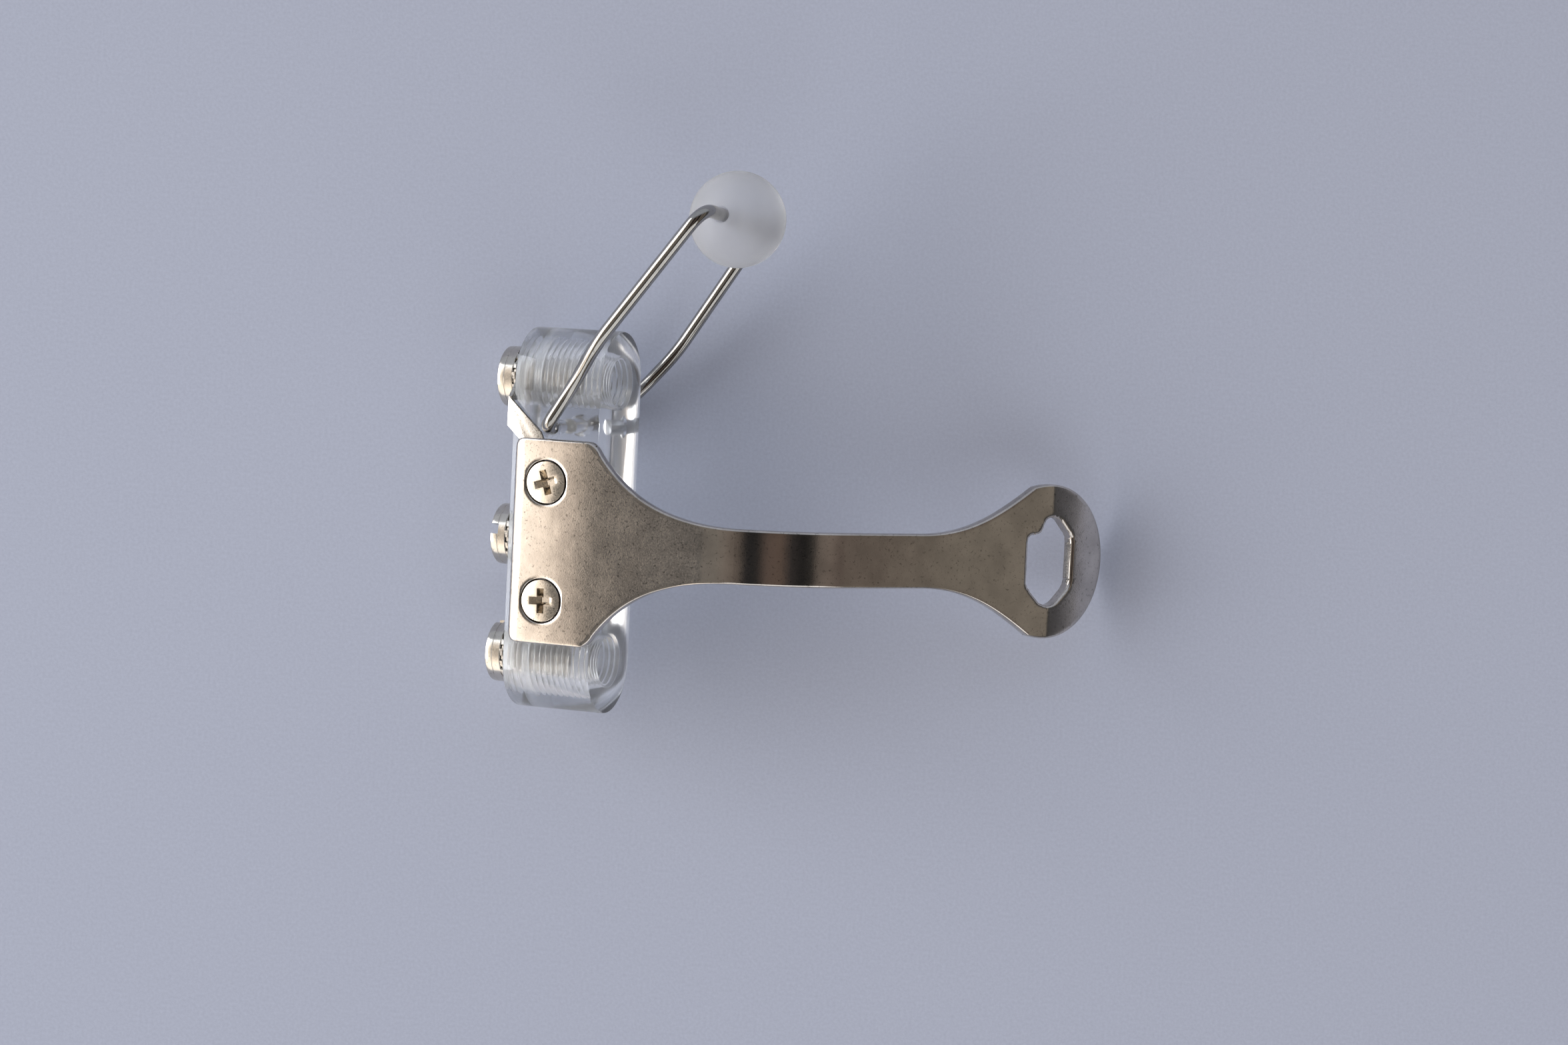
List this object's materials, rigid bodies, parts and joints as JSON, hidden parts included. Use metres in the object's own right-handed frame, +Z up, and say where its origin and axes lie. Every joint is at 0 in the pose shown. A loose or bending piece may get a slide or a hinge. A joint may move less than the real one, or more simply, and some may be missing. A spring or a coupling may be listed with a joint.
{
  "type": "fencing guard socket",
  "caption": "Body-cord socket for a fencing weapon's guard: clear block with slotted contact sleeves, bent bracket arm with a keyed tang hole, swinging wire bail with a roller.",
  "frame": {"origin": "centre of the bounding box in plan, on the surface the part lies on", "axes": "+X along the part from the contact heads to the end of the arm, +Z up from the surface it lies on, +Y towards the end of the block that carries the bail"},
  "size_m": [0.0784, 0.0688, 0.0277],
  "materials": {
    "acrylic": "clear cast acrylic, polished, lightly scratched",
    "bracket_nickel": "bright nickel plate on steel sheet, fine pitting",
    "strip_nickel": "bright nickel plate on thin sheet",
    "contact_nickel": "turned, nickel plated",
    "washer_nickel": "stamped, nickel plated",
    "screw_steel": "bright nickel plated screws",
    "wire_steel": "drawn spring wire, bright",
    "frosted_polymer": "translucent off-white, satin"
  },
  "bodies": {
    "frame": {"block_body": "acrylic", "block_front_plate": "acrylic", "bracket_arm": "bracket_nickel", "bracket_screw_lower": "screw_steel", "bracket_screw_upper": "screw_steel", "contact_lower": "contact_nickel", "contact_middle": "contact_nickel", "contact_upper": "contact_nickel", "contact_washer_lower": "washer_nickel", "contact_washer_middle": "washer_nickel", "contact_washer_upper": "washer_nickel", "ground_strip": "strip_nickel"},
    "bail": {"bail_wire": "wire_steel"},
    "roller": {"bail_roller": "frosted_polymer"}
  },
  "joints": [
    {"name": "bail_swing", "type": "hinge", "parent": "frame", "child": "bail", "pos_m": [-0.02954, 0.00143, 0.00895], "axis": [-0.3678, -0.0422, 0.9289], "range_deg": [-55, 132]},
    {"name": "roller_spin", "type": "hinge", "parent": "bail", "child": "roller", "pos_m": [-0.01027, 0.0284, 0.0163], "axis": [-0.3503, 0.0378, 0.9359], "continuous": true}
  ]
}
